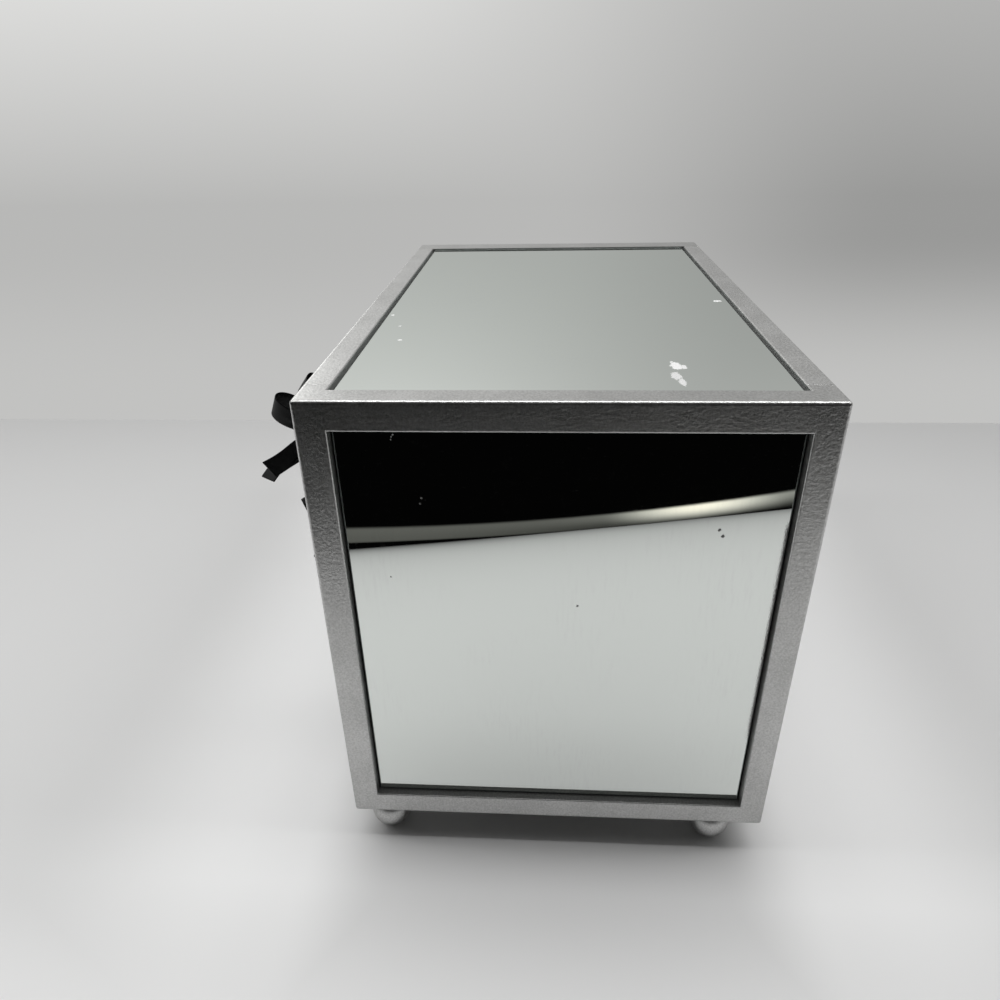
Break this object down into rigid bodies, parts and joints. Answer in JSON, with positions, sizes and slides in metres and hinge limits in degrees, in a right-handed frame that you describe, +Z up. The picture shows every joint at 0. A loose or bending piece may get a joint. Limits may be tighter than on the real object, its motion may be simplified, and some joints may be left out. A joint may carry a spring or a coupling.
{
  "type": "mirrored jewellery box",
  "caption": "Small chest for jewellery with mirrors let into its top, ends and drawer fronts, ball feet, and drawers that slide out on ribbon bows.",
  "frame": {"origin": "bottom centre of the whole box with its bows, on the plane that the feet stand on", "axes": "+X to the right end as seen from the drawers, -Y out of the drawers, +Z up"},
  "size_m": [0.245, 0.1878, 0.1812],
  "materials": {
    "silver_paint": "silver paint with a fine sparkling grain on board",
    "mirror": "polished plate with ground edges",
    "feet": "silver paint on turned wood",
    "drawer_box": "matt black stain",
    "lining": "black velvet",
    "ribbon": "black satin"
  },
  "bodies": {
    "case": {"top_board": "silver_paint", "bottom_board": "silver_paint", "back_board": "silver_paint", "top_mirror": "mirror", "shelf_1": "silver_paint", "shelf_2": "silver_paint", "end_board_right": "silver_paint", "end_mirror_right": "mirror", "foot_front_right": "feet", "foot_back_right": "feet", "end_board_left": "silver_paint", "end_mirror_left": "mirror", "foot_front_left": "feet", "foot_back_left": "feet"},
    "bottom_drawer": {"bottom_drawer_front": "silver_paint", "bottom_drawer_mirror": "mirror", "bottom_drawer_rear": "drawer_box", "bottom_drawer_base": "drawer_box", "bottom_drawer_lining": "lining", "bottom_drawer_side_right": "drawer_box", "bottom_drawer_side_left": "drawer_box", "bottom_drawer_bow_right": "ribbon", "bottom_drawer_bow_left": "ribbon"},
    "middle_drawer": {"middle_drawer_front": "silver_paint", "middle_drawer_mirror": "mirror", "middle_drawer_rear": "drawer_box", "middle_drawer_base": "drawer_box", "middle_drawer_lining": "lining", "middle_drawer_side_right": "drawer_box", "middle_drawer_side_left": "drawer_box", "middle_drawer_bow_right": "ribbon", "middle_drawer_bow_left": "ribbon"},
    "top_drawer": {"top_drawer_front": "silver_paint", "top_drawer_mirror": "mirror", "top_drawer_rear": "drawer_box", "top_drawer_base": "drawer_box", "top_drawer_lining": "lining", "top_drawer_side_right": "drawer_box", "top_drawer_side_left": "drawer_box", "top_drawer_bow_right": "ribbon", "top_drawer_bow_left": "ribbon"}
  },
  "joints": [
    {"name": "bottom_drawer_slide", "type": "slide", "parent": "case", "child": "bottom_drawer", "axis": [0, -1, 0], "range_m": [0, 0.1]},
    {"name": "middle_drawer_slide", "type": "slide", "parent": "case", "child": "middle_drawer", "axis": [0, -1, 0], "range_m": [0, 0.1]},
    {"name": "top_drawer_slide", "type": "slide", "parent": "case", "child": "top_drawer", "axis": [0, -1, 0], "range_m": [0, 0.1]}
  ]
}
